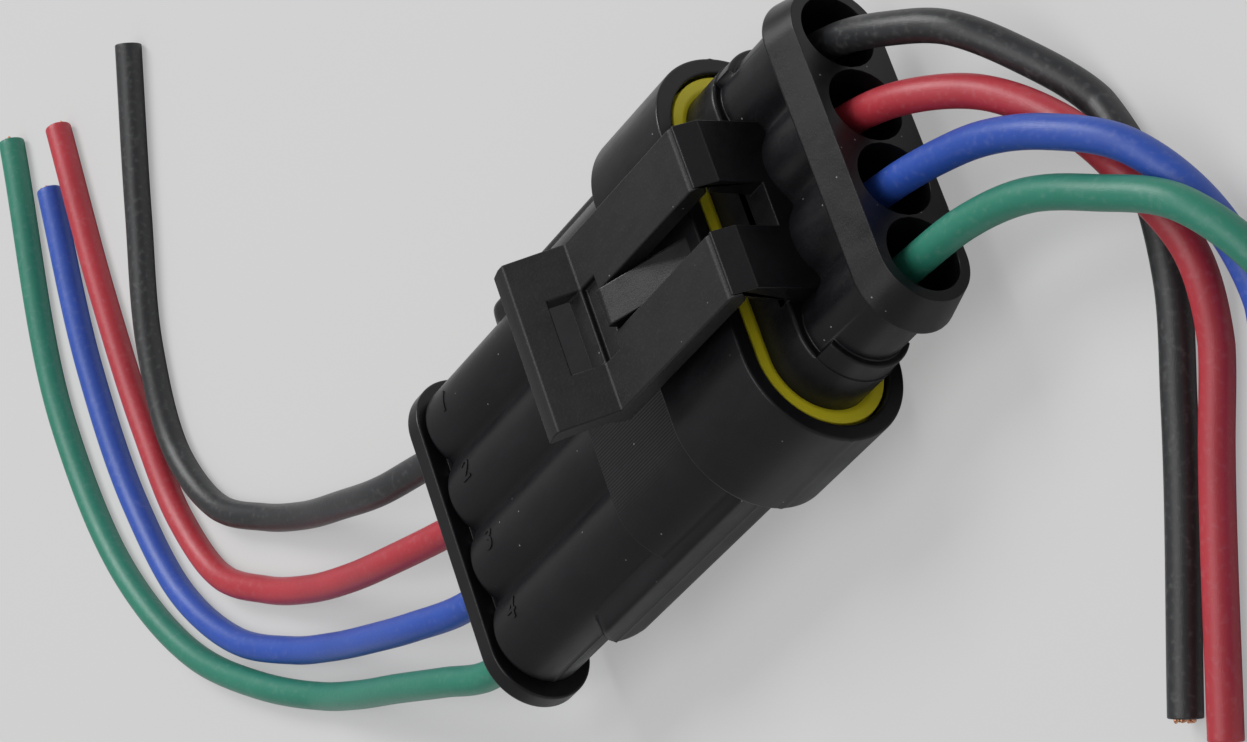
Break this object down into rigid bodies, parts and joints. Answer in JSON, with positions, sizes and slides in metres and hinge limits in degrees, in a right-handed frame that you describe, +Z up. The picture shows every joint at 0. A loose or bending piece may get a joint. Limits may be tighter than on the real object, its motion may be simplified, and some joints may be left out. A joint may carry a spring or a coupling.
{
  "type": "sealed in-line wire connector pair",
  "caption": "Mated sealed in-line connector: ribbed cap and plug in black plastic, yellow seal, sprung latch lever, coloured wire pigtails.",
  "frame": {"origin": "under the middle of the mated pair, in the plane of the shroud's flat underside", "axes": "+X from the cap's wires to the plug's wires, +Y along the row of circuits towards circuit 1, +Z up towards the latch lever"},
  "size_m": [0.1474, 0.1278, 0.02],
  "materials": {
    "housing_black": "moulded, fine sparkle, satin",
    "lock_plate": "moulded, satin",
    "seal_yellow": "silicone, smooth",
    "wire_seal": "silicone, smooth",
    "contact": "tin plated",
    "wire_black": "satin insulation",
    "wire_red": "satin insulation",
    "wire_blue": "satin insulation",
    "wire_green": "satin insulation"
  },
  "bodies": {
    "cap": {"cap_housing": "housing_black", "cap_lock_plate": "lock_plate", "tab_contact_1": "contact", "tab_contact_2": "contact", "tab_contact_3": "contact", "tab_contact_4": "contact", "cap_wire_seal_1": "wire_seal", "cap_wire_seal_2": "wire_seal", "cap_wire_seal_3": "wire_seal", "cap_wire_seal_4": "wire_seal", "cap_wire_1": "wire_black", "cap_wire_2": "wire_red", "cap_wire_3": "wire_blue", "cap_wire_4": "wire_green"},
    "plug": {"plug_housing": "housing_black", "plug_lock_plate": "lock_plate", "interface_seal": "seal_yellow", "socket_contact_1": "contact", "socket_contact_2": "contact", "socket_contact_3": "contact", "socket_contact_4": "contact", "plug_wire_seal_1": "wire_seal", "plug_wire_seal_2": "wire_seal", "plug_wire_seal_3": "wire_seal", "plug_wire_seal_4": "wire_seal", "plug_wire_1": "wire_black", "plug_wire_2": "wire_red", "plug_wire_3": "wire_blue", "plug_wire_4": "wire_green"},
    "lever": {"latch_lever": "housing_black"}
  },
  "joints": [
    {"name": "plug_slide", "type": "slide", "parent": "cap", "child": "plug", "axis": [1, 0, 0], "range_m": [0, 0.02], "deforming": ["latch_lever"]},
    {"name": "lever_lift", "type": "hinge", "parent": "plug", "child": "lever", "pos_m": [0.0188, 0, 0.01555], "axis": [0, 1, 0], "range_deg": [0, 12], "stiffness_Nm_per_rad": 0.2}
  ]
}
